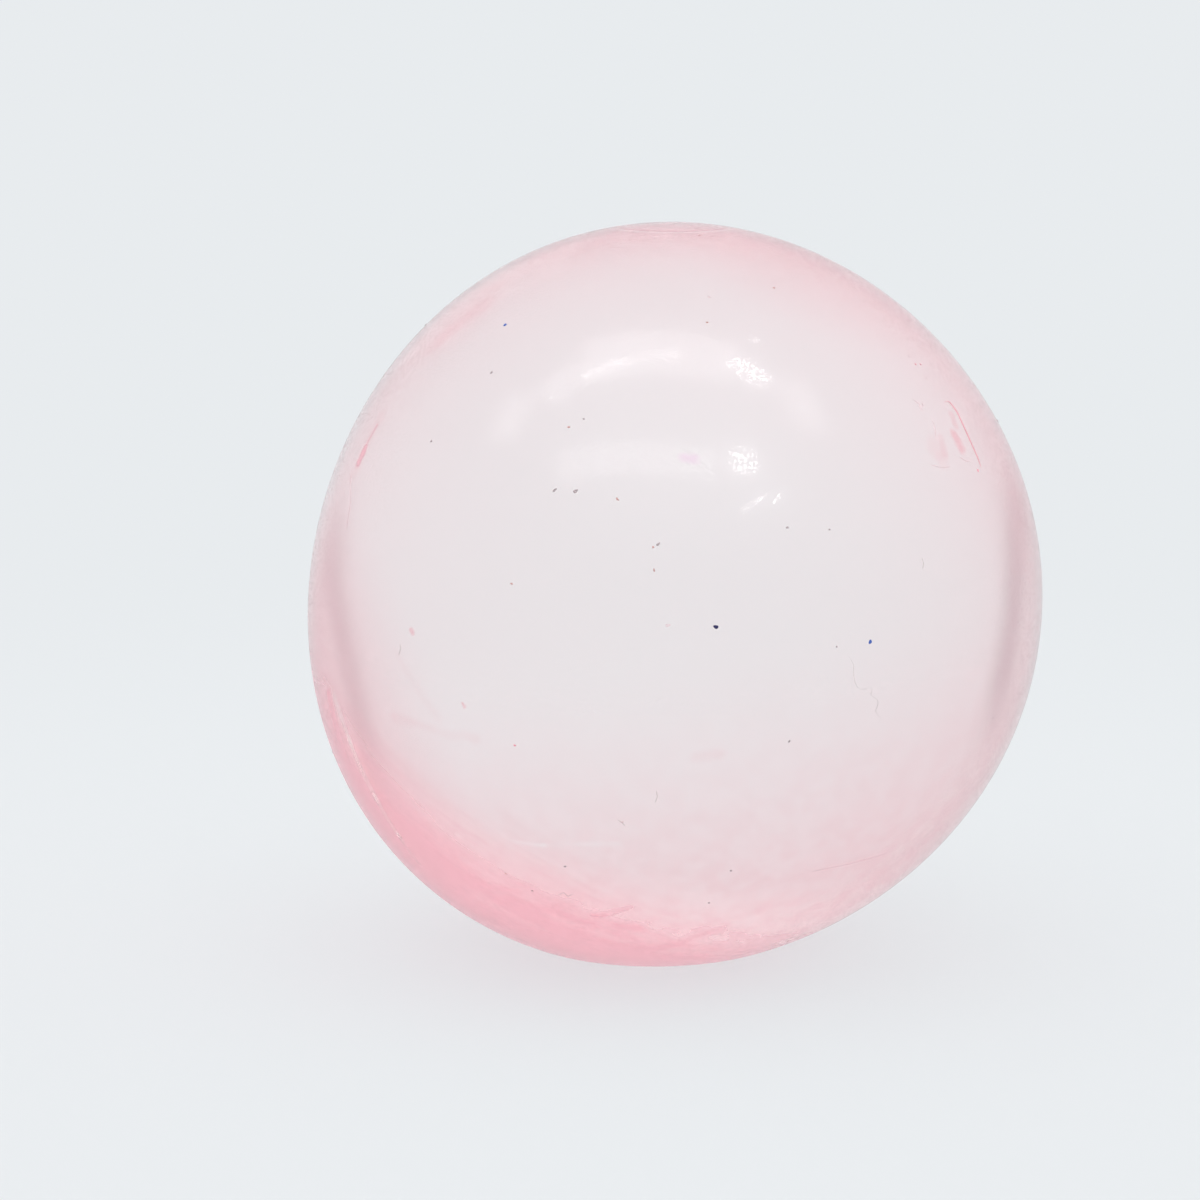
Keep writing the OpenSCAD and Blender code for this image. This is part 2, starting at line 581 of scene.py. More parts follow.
def thread(pixels, half_width, thick, steps=90, sides=6):
    """A flat thread laid on the ball along a smooth line through pixels, thinning to a point at both ends.

    The line runs straight from pixel to pixel and is then averaged over seven neighbours, which rounds
    its corners. Round it goes a flattened circle: half_width pixels along the surface, thick metres outward.
    """
    knots = np.array(pixels, float)
    share = np.concatenate([[0], np.cumsum(np.hypot(*np.diff(knots, axis=0).T))])
    t = np.linspace(0, 1, steps)
    line = np.stack([np.interp(t, share / share[-1], column) for column in knots.T], axis=1)
    padded = np.pad(line, ((EACH_SIDE, EACH_SIDE), (0, 0)), mode="reflect", reflect_type="odd")
    line = np.mean([padded[i:i + steps] for i in range(2 * EACH_SIDE + 1)], axis=0)
    outward = seen_at(line[:, 0], line[:, 1])
    ahead = unit(np.gradient(outward, axis=0))
    aside = np.cross(outward, ahead)
    taper = np.sqrt(np.clip(1 - (2 * t - 1) ** 4, 0.0, 1))[1:-1, None, None]
    turn = np.linspace(0, 2 * math.pi, sides, endpoint=False)[None, :, None]
    middle = BALL_MID + (BALL_R + STANDS_OUT * thick) * outward
    ring = np.cos(turn) * half_width * PX * aside[1:-1, None] + np.sin(turn) * thick * outward[1:-1, None]
    body = (middle[1:-1, None] + taper * ring).reshape(-1, 3)
    return np.vstack([middle[:1], body, middle[-1:]]), tube_faces(steps - 2, sides)


def gathered(name, parts):
    """One piece from several sets of points and faces, settled like the skin."""
    counts = np.cumsum([0] + [len(points) for points, faces in parts])
    points = np.vstack([points for points, faces in parts])
    faces = [f + n for n, (_, arrays) in zip(counts, parts) for f in arrays]
    piece = soft_piece(name, points, 0.0, *faces)
    print(name + ":", len(parts), "parts,", len(piece.data.polygons), "faces")
    return piece


# %% [markdown]
# ## The dirt that shows
#
# Most specks are dark or brown dust, three are blue, and a few short fibres lie between them. Each kind is
# one piece, because it has one finish and never moves by itself.

# %% Dirt
DARK_SPECKS = [
    (490, 372, 3.6, 2.2, 20), (554, 490, 4.4, 2.6, 30), (575, 491, 4.8, 3.6, 10), (583, 419, 2.2, 2, 0),
    (658, 544, 4.4, 2.2, 50), (787, 527, 2.8, 2.4, 0), (829, 529, 2.2, 1.8, 0), (567, 864, 2.4, 2.2, 0),
    (535, 887, 2.6, 2.2, 0), (732, 871, 2.8, 2.2, 0), (710, 903, 2.4, 2, 0), (994, 717, 2.4, 2.2, 0),
    (790, 741, 3.2, 1.6, 60), (837, 646, 2, 1.8, 0), (428, 440, 3, 2.4, 0),
]
BROWN_SPECKS = [
    (568, 427, 3, 2.4, 0), (706, 324, 2.6, 2.2, 0), (509, 870, 2.2, 2, 0), (698, 240, 2.6, 2.2, 0),
    (772, 290, 2.6, 2.2, 0), (653, 547, 2.6, 2, 30), (654, 570, 3, 2, 100), (511, 584, 3, 2, 150),
    (617, 499, 3.6, 2.4, 140),
]
BLUE_SPECKS = [(504, 325, 4.4, 3.2, 30), (870.5, 641, 4.0, 3.8, 0)]
NAVY_SPECKS = [(716, 626.5, 4.4, 4.0, 0)]
LINT = [
    ([(657, 790), (658, 796), (656, 802)], 0.45),
    ([(849, 655), (854, 664), (854, 673), (855, 681), (858, 687), (863, 689), (871, 686)], 0.12),
    ([(871, 686), (873, 690), (871, 694), (878, 699), (879, 703), (876, 710), (879, 715), (883, 719)], 0.12),
    ([(921, 557), (923, 562), (922, 568)], 0.35),
    ([(399, 645), (400, 650), (398, 656)], 0.4),
    ([(560, 892), (566, 889), (570, 893), (575, 891)], 0.4),
    ([(619, 819), (623, 821), (626, 825)], 0.5),
]
dark_specks = gathered("dark_specks", [specks(DARK_SPECKS), scattered(34, 1.8, 4.5)])
brown_specks = gathered("brown_specks", [specks(BROWN_SPECKS), scattered(16, 1.8, 4.0)])
blue_specks = gathered("blue_specks", [specks(BLUE_SPECKS), scattered(4, 3.0, 4.5)])
navy_specks = gathered("navy_specks", [specks(NAVY_SPECKS), scattered(2, 3.0, 4.5)])
lint = gathered("lint", [thread(line, half, FIBRE_T) for line, half in LINT])

# %% [markdown]
# ## Scraps of colour
#
# Flakes of the old colour cling to the skin in two strengths, a few strong ones and more that hardly show.
# They are raised a little, so they are pieces too, where the worn film is only a matter of the finish.

# %% Scraps of colour
RED_SCRAPS = [
    ([(942, 403), (944, 400), (948, 401), (956, 412), (966, 434), (976, 456), (980, 467)], 0.42),
    ([(976, 468), (977, 471)], 1.6),
]
FAINT_SCRAPS = [
    ([(911, 399), (917, 403), (921, 411)], 0.6),
    ([(931, 420), (934, 429), (934, 437)], 0.7),
    ([(929, 464), (940, 467), (949, 466)], 0.5),
    ([(958, 456), (964, 460), (969, 461)], 0.6),
    ([(345, 466), (343, 480), (344, 500), (340, 530)], 0.35),
    ([(591, 912), (602, 914), (613, 913), (631, 906)], 0.9),
    ([(813, 873), (850, 866), (890, 855)], 0.6),
]
RED_DOTS = [(914, 364, 2.6, 2.4, 0), (919, 364, 2.6, 2.4, 0), (516, 745, 2.6, 2.4, 0)]
FAINT_DOTS = [
    (907, 356, 2.6, 2.4, 0), (925, 378, 2.6, 2.4, 0), (708, 299, 4, 3, 0), (668, 625, 5, 3, 20),
    (921, 404, 5, 2.4, 110), (623, 821, 4, 2.6, 30),
]
red_scraps = gathered("red_scraps", [specks(RED_DOTS), scattered(8, 3.0, 9.0)]
                      + [thread(line, half, SCRAP_T) for line, half in RED_SCRAPS])
faint_scraps = gathered("faint_scraps", [specks(FAINT_DOTS), scattered(14, 4.0, 12.0)]
                        + [thread(line, half, FIBRE_T) for line, half in FAINT_SCRAPS])

# %% [markdown]
# ## Writing shaders as sums
#
# Blender's nodes do arithmetic one box at a time. A small class wraps a socket, so that an expression such
# as `1 - mask * 0.5` adds the Math nodes by itself.

# %% Wires
def maths(operation, swapped=False):
    """A method that adds a Math node for a wire and another wire or a number."""
    def method(self, other):
        first, second = (other, self) if swapped else (self, other)
        return self.finish.node("Math", {0: first, 1: second}, operation=operation)

    return method


class Wire:
    """An output socket of a shader node that takes part in Python arithmetic."""

    def __init__(self, finish, socket):
        self.finish = finish
        self.socket = socket

    __add__ = __radd__ = maths("ADD")
    __sub__ = maths("SUBTRACT")
    __rsub__ = maths("SUBTRACT", swapped=True)
    __mul__ = __rmul__ = maths("MULTIPLY")
    __pow__ = maths("POWER")
    at_most = maths("MINIMUM")
    at_least = maths("MAXIMUM")


# %% [markdown]
# ## A finish
#
# A finish starts as an empty node tree. The node editor could fill it by hand, but a script gives the same
# nodes each time and can be read from top to bottom. One method adds any node, and the short ones after it
# are for the nodes that come up often.

# %% Finishes
class Finish:
    """A material, or the world, with an empty node tree and the one method that fills it."""

    def __init__(self, name, owners=bpy.data.materials, output="ShaderNodeOutputMaterial"):
        self.owner = owners.new(name)
        self.owner.use_nodes = True
        self.tree = self.owner.node_tree
        self.tree.nodes.clear()
        self.output = self.tree.nodes.new(output)

    def node(self, kind, inputs=None, output=0, **settings):
        """Adds a node: its settings first, then a value or a link on each named or numbered input."""
        made = self.tree.nodes.new("ShaderNode" + kind)
        for name, value in settings.items():
            setattr(made, name, value)
        for name, value in (inputs or {}).items():
            if isinstance(value, Wire):
                self.tree.links.new(value.socket, made.inputs[name])
            else:
                made.inputs[name].default_value = value
        return Wire(self, made.outputs[output])

    def surface(self, shader):
        """Sends a shader to the output, and returns the finished material or world."""
        self.tree.links.new(shader.socket, self.output.inputs["Surface"])
        return self.owner

    def place(self, kept="outward"):
        """What a point keeps: its direction at rest, so that a pattern stays put as the ball flattens."""
        return self.node("Attribute", output="Vector", attribute_name=kept)

    def dot(self, vector, direction):
        return self.node("VectorMath", {0: vector, 1: tuple(direction)}, "Value", operation="DOT_PRODUCT")

    def plus(self, vector, other):
        return self.node("VectorMath", {0: vector, 1: other}, operation="ADD")

    def smooth(self, value, low, high):
        """0 at low, 1 at high, and an S curve between them. Low may be the larger."""
        return self.node("MapRange", {"Value": value, "From Min": low, "From Max": high},
                         interpolation_type="SMOOTHSTEP")

    def noise(self, vector, scale, detail=2.0, output="Fac"):
        return self.node("TexNoise", {"Vector": vector, "Scale": scale, "Detail": detail}, output)

    def mix(self, share, first, second, blend="MIX"):
        """A colour between two, by share, or another blend of them."""
        return self.node("Mix", {0: share, 6: first, 7: second}, 2, data_type="RGBA", blend_type=blend)


# %% [markdown]
# ## Where the colour is worn
#
# What is left of the pink is a wash low on one side, some soft patches near the rim and a few streaks and
# flecks. They could be painted on an image, but here they are a sum of soft shapes, each placed by the
# pixel where it shows: that stays sharp at any size, and it can be read as a list.

# %% Patches and streaks
def cloud(finish, place, x, y, inner, outer):
    """A soft round patch about the point seen at a pixel: full within inner degrees, gone at outer ones."""
    towards = finish.dot(place, seen_at(x, y))
    return finish.smooth(towards, math.cos(math.radians(outer)), math.cos(math.radians(inner)))


def streak(finish, place, start, stop, width, core):
    """A line of film between the points seen at two pixels: 0 at width pixels from it, 1 within the core.

    The share along the line is the dot product of the way to the point with the line, over the line's
    length squared, held between 0 and 1. The distance is then that to the nearest point of the line.
    """
    a, b = seen_at(*start), seen_at(*stop)
    line = b - a
    away = finish.plus(place, tuple(-a))
    share = finish.node("Math", {0: finish.dot(away, line), 1: 1.0 / float(line @ line)},
                        operation="MULTIPLY", use_clamp=True)
    along = finish.node("VectorMath", {0: tuple(line), "Scale": share}, operation="SCALE")
    apart = finish.node("VectorMath", {0: away, 1: along}, "Value", operation="DISTANCE")
    return finish.smooth(apart, width / BALL_PX_R, core * width / BALL_PX_R)


def shaken(finish, place, scale, reach):
    """Places pushed about by a noise, up to reach each way, which makes the edge of a streak uneven."""
    return finish.node("VectorMath", {
        0: finish.noise(place, scale, output="Color"),
        1: (2 * reach, 2 * reach, 2 * reach),
        2: finish.plus(place, (-reach, -reach, -reach)),
    }, operation="MULTIPLY_ADD")


# %% [markdown]
# ## The list of patches
#
# A patch has its pixel, two angles and a strength. A streak has its two ends, a width and a strength, and a
# strength below 0 takes the colour off a line. Flecks have ragged edges, and flows wander a little as they
# go.
# The lines that take the colour off just inside the lower left rim are painted light: they paint the pale
# line that shows there.

# %% Where the colour lies
CLOUDS = {
    "left rim": (330, 735, 3, 42, 0.40),
    "upper right rim": (815, 268, 2, 24, 0.14),
    "upper left rim": (450, 318, 2, 12, 0.12),
    "low right": (960, 790, 4, 34, 0.05),
    "right pear": (936, 448, 0.5, 3.0, 0.15),
    "right pear foot": (942, 459, 0.3, 2.2, 0.10),
}
FLECKS = {
    "right blob": ((954, 435), (960, 447), 10, 0.56),
    "right small blob": ((951, 415), (954, 424), 8, 0.28),
    "right pear side": ((940, 437), (944, 452), 8, 0.16),
    "left dash": ((370, 424), (354, 454), 5, 0.36),
    "left dash core": ((357, 449), (352, 460), 9, 0.80),
    "left dash halo": ((374, 416), (349, 466), 18, 0.14),
    "left fleck": ((410, 631), (411.5, 634), 4.0, 0.55),
    "lower left fleck": ((464, 704), (465.5, 707), 3.2, 0.55),
    "crease": ((596, 913), (632, 905), 6, 0.14),
    "smear below": ((696, 757), (720, 754), 9, 0.09),
}
# Painted light: colour taken off along the bright line inside the lower left rim, so that the line shows
# paler.
PAINTED_LIGHT_LINE = {
    "rim line top": ((335, 700), (352, 742), 10, -0.25),
    "rim line": ((352, 742), (380, 796), 11, -0.34),
    "rim line low": ((380, 796), (404, 832), 11, -0.36),
    "rim line end": ((404, 832), (424, 858), 8, -0.30),
}
FLOWS = {
    "left strip start": ((329, 696), (342, 742), 11, 0.60),
    "left strip": ((342, 742), (376, 812), 11, 0.40),
    "left strip end": ((376, 812), (420, 862), 10, 0.25),
    "smear low left": ((396, 718), (478, 738), 9, 0.10),
    "faint arc": ((395, 652), (440, 718), 8, 0.05),
    "pale line": ((462, 833), (545, 842), 5, -0.10),
    "pale line end": ((545, 842), (620, 842), 5, -0.07),
    "flow upper": ((424, 848), (520, 888), 13, 0.14),
    "flow middle": ((520, 896), (640, 926), 14, 0.16),
    "flow low": ((632, 949), (728, 928), 14, 0.18),
    "flow far": ((700, 930), (770, 905), 14, 0.09),
    "upper right band": ((836, 262), (905, 318), 13, 0.20),
    "upper left patch": ((440, 336), (478, 308), 28, 0.20),
    "upper left band": ((485, 292), (660, 230), 22, 0.05),
}
print("patches:", len(CLOUDS), "and streaks:", len(FLECKS) + len(PAINTED_LIGHT_LINE) + len(FLOWS))

# %% [markdown]
# ## The wash of pink
#
# Low on the left the colour is still thick, and it ends in a slanting, streaky edge. Under the rest of the
# ball it fades slowly upwards. Two directions give both: the cosine of the angle from each of them rises
# as a point comes closer to it. A noise drawn out along the edge makes the streaks.

# %% The wash
def in_picture(degrees, towards_camera):
    """A unit direction at an angle in the picture, from the right and upwards, leant towards the camera."""
    flat = math.cos(math.radians(degrees)) * RIGHT + math.sin(math.radians(degrees)) * UP
    return math.sqrt(1 - towards_camera ** 2) * flat + towards_camera * FRONT


WASH_MIDDLE = in_picture(240, -0.21)
WASH_ALONG = unit(np.cross(WASH_MIDDLE, FRONT))
WASH_DEEP = np.cross(WASH_ALONG, WASH_MIDDLE)
LOW_MIDDLE = in_picture(280, 0.0)
LOW_START, LOW_CURVE, LOW_AMOUNT = 0.15, 1.3, 0.50
THICK_EDGE, THICK_FULL, THICK_AMOUNT = 0.46, 0.80, 0.60
LINES_ACROSS, LINES_ALONG = 24.0, 2.0
SOFT_SCALE, MOTTLE_SCALE = 2.5, 16.0
LOW_SOFT, LOW_FLOW, THICK_UNEVEN = 0.10, 0.05, 0.08
MOTTLED_LEAST, MOTTLED_MORE = 0.86, 0.28
FLOW_LEAST, FLOW_MORE = 0.75, 0.50
BASE_PIGMENT = 0.046
RAGGED = (55.0, 0.008)
DRAWN_OUT = (9.0, 0.02)


def wash(finish, place):
    """The worn colour low on the ball: a slow rise towards one direction, and a thick cap about another.

    With w the cosine of the angle from the middle of the cap, a noise that is squeezed along w and drawn
    out along the other two directions makes streaks that run round the cap. They push its edge in and out
    and thin the colour between them.
    """
    w = finish.dot(place, WASH_MIDDLE)
    lines = finish.node("CombineXYZ", {
        0: LINES_ACROSS * w,
        1: LINES_ALONG * finish.dot(place, WASH_ALONG),
        2: LINES_ALONG * finish.dot(place, WASH_DEEP),
    })
    flow = finish.noise(lines, 1.0, 3.0)
    soft = finish.noise(place, SOFT_SCALE)
    low = finish.dot(place, LOW_MIDDLE) + LOW_SOFT * (soft - 0.5) + LOW_FLOW * (flow - 0.5)
    rising = ((low - LOW_START) * (1 / (1 - LOW_START))).at_least(0.0) ** LOW_CURVE
    uneven = w + THICK_UNEVEN * (flow - 0.5) + THICK_UNEVEN * (soft - 0.5)
    thick = finish.smooth(uneven, THICK_EDGE, THICK_FULL)
    mottled = finish.smooth(finish.noise(place, MOTTLE_SCALE, 6.0), 0.35, 0.65)
    slow = LOW_AMOUNT * rising * (MOTTLED_LEAST + MOTTLED_MORE * mottled)
    return slow + THICK_AMOUNT * thick * (FLOW_LEAST + FLOW_MORE * flow)


def pigment_on(finish, place):
    """The amount of colour at a place, from 0 for none to 1 for the thickest, with colour taken off as
    painted light along one line inside the lower left rim.
    """
    pigment = BASE_PIGMENT + wash(finish, place)
    for x, y, inner, outer, strength in CLOUDS.values():
        pigment = pigment + strength * cloud(finish, place, x, y, inner, outer)
    ragged = shaken(finish, place, *RAGGED)
    drawn_out = shaken(finish, place, *DRAWN_OUT)
    # The painted light line thins the colour along the pale line inside the lower left rim.
    for lines, where, core in ((FLECKS, ragged, 0.15), (PAINTED_LIGHT_LINE, place, 0.0), (FLOWS, drawn_out, 0.0)):
        for start, stop, width, strength in lines.values():
            pigment = pigment + strength * streak(finish, where, start, stop, width, core)
    return pigment.at_least(0.0).at_most(1.0)


print("the thick colour lies about", np.round(WASH_MIDDLE, 2))

# %% [markdown]
# ## The skin's finish
#
# Clear soft rubber is a dielectric that bends light like the gel behind it. The worn colour is a film in
# it: where it is thin it only tints what shows through, and where it is thick it also scatters light and
# looks chalky. A fine grain, and dull spots between polished ones, break each highlight into glints. The
# tacky skin also holds a bloom of dust that glows at a slant, which is a sheen, and it gives way to bare
# gloss at the very rim.

# %% Skin finish
GEL_IOR = 1.45
CLEAR_TINT = (1.0, 0.995, 0.986, 1.0)
PINK_TINT = (1.0, 0.26, 0.33, 1.0)
MAGENTA_TINT = (1.0, 0.71, 0.91, 1.0)
PINK_FILM = (1.0, 0.60, 0.67, 1.0)
FILM_SHARE = 0.45
SHEEN = {"Sheen Weight": 0.37, "Sheen Roughness": 0.65, "Sheen Tint": (1.0, 0.42, 0.48, 1.0)}
GRAIN_DEPTH, GRAIN_SCALE = 0.000008, 100.0
CALM = (763, 502, 4.0, 6.5)
CALM_SHARE = 0.8
DULL, DULL_SCALE, DULL_FROM, DULL_FULL = 0.18, 135.0, 0.57, 0.45
MAGENTA_SPOT = ((684, 457), (694, 459), 8, 0.0)
SPOT_SHARE = 0.8
RIM_START, RIM_FULL, RIM_BARE = 0.70, 0.92, 0.8
FILM_GLOW, FILM_ROUGH = 0.3, 0.3
SKIN_ROUGH, CAP_ROUGH = 0.06, 0.05


def grain_normal(finish, place):
    """A grain a few tenths of a millimetre wide, with one calm patch that mirrors a lamp clearly."""
    grain = (finish.noise(place, GRAIN_SCALE, 1.0) - 0.5) * (1 - CALM_SHARE * cloud(finish, place, *CALM))
    return finish.node("Bump", {"Strength": 1.0, "Distance": GRAIN_DEPTH, "Height": grain})


def worn_rubber(name, roughness):
    """Clear rubber under a film of worn pink: dusty glass, bare glass at the rim, and the film over both."""
    finish = Finish(name)
    place = finish.place()
    pigment = pigment_on(finish, place)
    normal = grain_normal(finish, place)
    spot = SPOT_SHARE * streak(finish, shaken(finish, place, *RAGGED), *MAGENTA_SPOT)
    dull = DULL * finish.smooth(finish.noise(place, DULL_SCALE, 1.0), DULL_FROM, DULL_FULL)
    glass = {
        "Base Color": finish.mix(spot, finish.mix(pigment, CLEAR_TINT, PINK_TINT), MAGENTA_TINT),
        "Roughness": roughness + dull,
        "IOR": GEL_IOR,
        "Transmission Weight": 1.0,
        "Normal": normal,
    }
    dusty = finish.node("BsdfPrincipled", {**glass, **SHEEN})
    bare = finish.node("BsdfPrincipled", glass)
    facing = finish.node("LayerWeight", {"Blend": 0.5}, "Facing")
    rim = RIM_BARE * finish.smooth(facing, RIM_START, RIM_FULL)
    clear = finish.node("MixShader", {0: rim, 1: dusty, 2: bare})
    chalk = finish.node("BsdfPrincipled", {
        "Base Color": PINK_FILM, "Roughness": FILM_ROUGH, "IOR": GEL_IOR, "Normal": normal})
    glow = finish.node("BsdfTranslucent", {"Color": PINK_FILM})
    film = finish.node("MixShader", {0: FILM_GLOW, 1: chalk, 2: glow})
    shader = finish.node("MixShader", {0: FILM_SHARE * pigment * pigment, 1: clear, 2: film})
    print(name, "has", len(finish.tree.nodes), "nodes")
    return finish.surface(shader)


skin.data.materials.append(worn_rubber("clear_skin_worn_pink", SKIN_ROUGH))

# %% [markdown]
# ## Faces inside the ball
#
# The skin's inner wall touches gel that bends light alike, so nothing is bent or mirrored there, which is an
# index of 1. Such faces could be left out of a picture, but the pieces are real, so they stay and only tint
# the light a little. One function makes each finish that drifts between two colours.

# %% Inner faces
WHITE = (1.0, 1.0, 1.0)
HAZE_SCALE = 4.0
CLEAR_INSIDE = {"Roughness": 0.0, "IOR": 1.0, "Transmission Weight": 1.0}


def drifting(name, first, second, scale, settings):
    """A material that drifts between two colours from place to place over the ball."""
    finish = Finish(name)
    patch = finish.noise(finish.place(), scale)
    colour = finish.mix(patch, (*first, 1.0), (*second, 1.0))
    return finish.surface(finish.node("BsdfPrincipled", {"Base Color": colour, **settings}))


skin_inner = drifting("skin_against_gel", WHITE, (1.0, 0.995, 0.996), HAZE_SCALE, CLEAR_INSIDE)
skin.data.materials.append(skin_inner)

# %% [markdown]
# ## Gel, stopper and adhesive
#
# The gel and the stopper lie wholly inside, so they only tint the light a little, each with a haze of its
# own scale. The adhesive's outer face carries on the skin's surface and took the same colour and dust, so
# it shares the skin's finish and is only a little glossier.

# %% Gel, stopper and adhesive finishes
RUBBER_LIGHT, RUBBER_DARK, RUBBER_SCALE = (1.0, 0.995, 0.995), (0.995, 0.98, 0.985), 60.0
gel.data.materials.append(drifting("gel", WHITE, (1.0, 0.99, 0.992), HAZE_SCALE, CLEAR_INSIDE))
stopper.data.materials.append(
    drifting("stopper_rubber", RUBBER_LIGHT, RUBBER_DARK, RUBBER_SCALE, CLEAR_INSIDE))
cap.data.materials.append(worn_rubber("adhesive", CAP_ROUGH))
cap.data.materials.append(skin_inner)

# %% [markdown]
# ## Finishes of the dirt
#
# Each kind of speck, fibre and scrap gets one matt material that drifts between two colours from place to
# place, so no two neighbours look stamped. They are thin and half see-through, which is an alpha below 1.

# %% Dirt finishes
DIRT_ROUGH, DIRT_SCALE = 0.5, 40.0
MARKS = {
    dark_specks: ((0.30, 0.24, 0.27), (0.46, 0.36, 0.36), 0.48),
    brown_specks: ((0.62, 0.28, 0.24), (0.72, 0.42, 0.36), 0.48),
    blue_specks: ((0.03, 0.09, 0.42), (0.06, 0.15, 0.55), 0.9),
    navy_specks: ((0.01, 0.01, 0.08), (0.02, 0.02, 0.12), 0.95),
    lint: ((0.50, 0.36, 0.32), (0.62, 0.48, 0.44), 0.18),
    red_scraps: ((1.0, 0.36, 0.44), (1.0, 0.46, 0.54), 0.50),
    faint_scraps: ((1.0, 0.55, 0.66), (1.0, 0.62, 0.66), 0.16),
}
for piece, (first, second, opacity) in MARKS.items():
    matt = {"Roughness": DIRT_ROUGH, "Alpha": opacity}
    piece.data.materials.append(drifting(piece.name, first, second, DIRT_SCALE, matt))
print("finishes of dirt:", len(MARKS))

# %% [markdown]
# ## The floor
#
# Clear things are lit by what stands round them. Here that is a pale sheet lit from above and from below,
# as on a photographer's light table, in an even white room. The light from below is a little stronger near
# the ball, which makes up for the ball's own shade.

# %% Floor
FLOOR_COLOUR = (0.680, 0.704, 0.722)
ROOM_LIGHT = 1.10
SUN = 0.09
FROM_BELOW = 0.70
POOL_GLOW = 0.05
POOL_CORE, POOL_REACH = 0.03, 0.22
FLOOR_HALF = 6.0
FLOOR_Z = -0.00004


def scaled(colour, share):
    """A colour times a number, opaque."""
    return tuple(share * c for c in colour[:3]) + (1.0,)


SKY_LOW = scaled(FLOOR_COLOUR, ROOM_LIGHT + SUN)


def make_floor():
    """A wide pale sheet, matt like paper, with a share of its light from below.

    It lies a hair below the foot, so that the two faces never fall together.
    """
    corners = np.array([[-1.0, -1.0], [1.0, -1.0], [1.0, 1.0], [-1.0, 1.0]])
    points = np.column_stack([FLOOR_HALF * corners, np.full(4, FLOOR_Z)])
    floor = new_piece("floor", points, np.array([[0, 1, 2, 3]]))
    finish = Finish("pale_floor")
    here = finish.node("TexCoord", output="Object")
    away = finish.node("VectorMath", {0: here}, "Value", operation="LENGTH")
    pool = scaled(SKY_LOW, 1 + POOL_GLOW)
    shader = finish.node("BsdfPrincipled", {
        "Base Color": scaled(FLOOR_COLOUR, 1 - FROM_BELOW),
        "Roughness": 0.9,
        "Specular IOR Level": 0.0,
        "Emission Color": finish.mix(finish.smooth(away, POOL_REACH, POOL_CORE), SKY_LOW, pool),
        "Emission Strength": FROM_BELOW,
    })
    floor.data.materials.append(finish.surface(shader))


make_floor()
print("share of the floor's light from below:", FROM_BELOW)

# %% [markdown]
# ## The room
#
# The room has the floor's colour near the horizon, so that no line shows through the ball. It is brighter
# overhead on the right and in front, where a studio's large lamps would be. A picture of a real studio
# could light the ball too, but two smooth ramps can be tuned one by one.

# %% Room
SUN_SPREAD = math.radians(70)
SUN_TILT = (math.radians(12), math.radians(-8), 0)
SKY_TOP = (1.34, 1.31, 1.32, 1.0)
SKY_RISES = (0.30, 0.0, 1.0)
RISE_STARTS = 0.36
FRONT_LIGHT = 0.42
FRONT_RISES = 1.2
FRONT_WAY = unit(FRONT + FRONT_RISES * UP)
FRONT_STARTS = 0.68


def make_world():
    """An even white room, brighter overhead and in front. Matt surfaces are lit by ROOM_LIGHT alone."""
    room = Finish("studio", bpy.data.worlds, "ShaderNodeOutputWorld")
    way = room.node("TexCoord", output="Generated")
    overhead = room.node("MapRange", {
        "Value": room.dot(way, SKY_RISES), "From Min": RISE_STARTS, "From Max": 1.0})
    ahead = room.smooth(room.dot(way, FRONT_WAY), FRONT_STARTS, 1.0)
    sky = room.mix(ahead, room.mix(overhead, SKY_LOW, SKY_TOP), scaled(WHITE, FRONT_LIGHT), "ADD")
    on_matt = room.node("LightPath", output="Diffuse Depth")
    colour = room.mix(on_matt, sky, scaled(WHITE, ROOM_LIGHT))
    bpy.context.scene.world = room.surface(room.node("Background", {"Color": colour}))


def make_sun():
    """A very soft sun from above, for matt surfaces only: it gives the floor its shade under the ball."""
    data = bpy.data.lights.new("soft_sun", "SUN")
    data.energy = SUN * math.pi
    data.angle = SUN_SPREAD
    sun = in_scene("soft_sun", data)
    sun.rotation_euler = SUN_TILT
    sun.visible_glossy = False
    sun.visible_transmission = False


make_world()
make_sun()
print("the room is brightest overhead:", SKY_TOP[:3])

# %% [markdown]
# ## Lamps that make the highlights
#
# Each highlight is the mirror image of a lamp. The point of the ball where it shows is known, so the way
# to its lamp follows from the mirror rule: it leans as far from the surface's normal as the camera does,
# on the other side. The lamps are placed along those ways, and light only glossy surfaces. Wide dim ones
# make the haze of a highlight, and small bright ones its sparkle.

# %% Lamps
LAMP_AWAY = 2.0
LAMPS = {
    "overhead_glow": (655, 357, 166, 44, 0, 1.9),
    "overhead_bend": (558, 387, 48, 26, 38, 1.8),
    "overhead_left": (603, 371.5, 50, 9, 15, 4.5),
    "overhead_right": (656, 360.5, 48, 7, 4, 3.6),
    "overhead_bright": (749, 375, 42, 15, -30, 9.0),
    "overhead_dash": (756, 344, 9, 2.5, -15, 16.0),
    "overhead_end": (542, 398, 14, 2.5, 65, 12.0),
    "front_glow": (634, 460, 180, 32, 0, 1.9),
    "front_bright": (743, 464, 26, 24, 0, 8.0),
    "front_dash": (754.5, 504.5, 28, 2.5, 28, 18.0),
    "front_short_dash": (777.5, 499, 17, 2.5, 46, 20.0),
    "left_glow": (503, 421, 24, 30, 0, 1.0),
    "left_haze": (504, 420, 38, 44, 0, 0.8),
    "right_glow": (805, 409, 24, 34, 0, 1.1),
    "right_haze": (803, 408, 42, 52, 0, 0.8),
    "rim_glow": (483, 296, 200, 24, 32, 0.25),
}


def mirrored_way(x, y):
    """The point of the ball seen at a pixel, and the way from it to whatever is mirrored there."""
    outward = seen_at(x, y)
    point = BALL_MID + BALL_R * outward
    to_camera = unit(CAMERA_AT - point)
    return point, 2 * float(outward @ to_camera) * outward - to_camera


